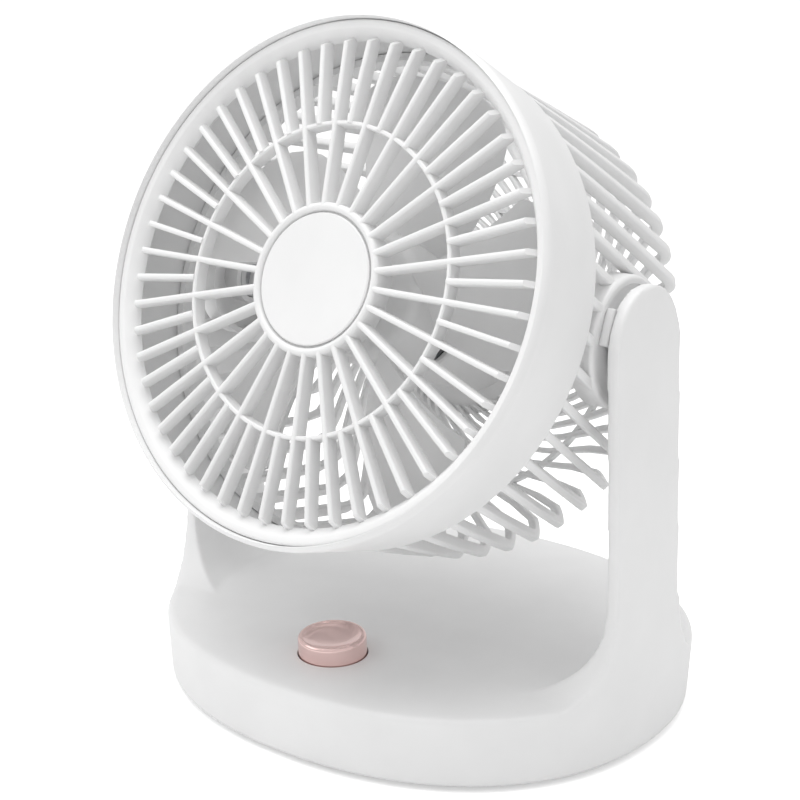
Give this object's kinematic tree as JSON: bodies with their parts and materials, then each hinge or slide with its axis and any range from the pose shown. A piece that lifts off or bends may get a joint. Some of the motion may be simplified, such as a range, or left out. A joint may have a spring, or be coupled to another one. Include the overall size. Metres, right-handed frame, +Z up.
{
  "type": "desk fan",
  "caption": "Small round desk fan: a ribbed front grille and a swirled rear guard on a barrel that tilts between two arms rising from an oval base with one push knob.",
  "frame": {"origin": "bottom centre of the whole fan's box, at rest with the head looking up 21.3 degrees; the feet stand on z = 0", "axes": "+Z up, the fan faces -Y, +X to the right of someone who looks along +Y"},
  "size_m": [0.2104, 0.1935, 0.2604],
  "materials": {
    "white_plastic": "satin white moulded plastic",
    "inner_plastic": "matt off-white moulded plastic",
    "rubber": "matt grey rubber",
    "steel": "plain zinc-plated steel",
    "board": "green printed circuit board",
    "dark": "black plastic and ferrite",
    "red_lead": "red wire insulation",
    "rose_metal": "polished rose-gold plating"
  },
  "bodies": {
    "stand": {"yoke_base": "white_plastic", "base_cover": "inner_plastic", "foot_1": "rubber", "foot_2": "rubber", "foot_3": "rubber", "foot_4": "rubber", "cover_screw_1": "steel", "cover_screw_2": "steel", "cover_screw_3": "steel", "cover_screw_4": "steel", "circuit_board": "board", "board_screw_1": "steel", "board_screw_2": "steel", "push_switch": "dark", "power_inlet": "steel", "arm_cover": "white_plastic", "pivot_pin_right": "steel", "pivot_pin_left": "steel", "stand_lead_red": "red_lead", "stand_lead_black": "dark"},
    "head": {"barrel": "white_plastic", "front_grille": "white_plastic", "hub_badge": "white_plastic", "rear_guard": "white_plastic", "conduit_cover": "white_plastic", "pivot_bush_right": "inner_plastic", "pivot_bush_left": "inner_plastic", "motor_can": "steel", "motor_cap": "steel", "motor_magnet": "dark", "bearing_rear": "steel", "bearing_front": "steel", "motor_screw_1": "steel", "motor_screw_2": "steel", "motor_screw_3": "steel", "head_lead_red": "red_lead", "head_lead_black": "dark"},
    "rotor": {"motor_shaft": "steel", "rotor_core": "dark", "impeller": "white_plastic", "impeller_cap": "white_plastic"},
    "knob": {"knob": "rose_metal"}
  },
  "joints": [
    {"name": "head_tilt", "type": "hinge", "parent": "stand", "child": "head", "pos_m": [0, -0.00162, 0.1519], "axis": [-1, 0, 0], "range_deg": [-21, 60]},
    {"name": "rotor_spin", "type": "hinge", "parent": "head", "child": "rotor", "pos_m": [0, -0.00246, 0.14976], "axis": [0, -0.9317, 0.3633], "continuous": true},
    {"name": "knob_press", "type": "slide", "parent": "stand", "child": "knob", "axis": [0, 0.0523, -0.9986], "range_m": [0, 0.0015], "stiffness_N_per_m": 300, "springref_m": -0.001}
  ]
}
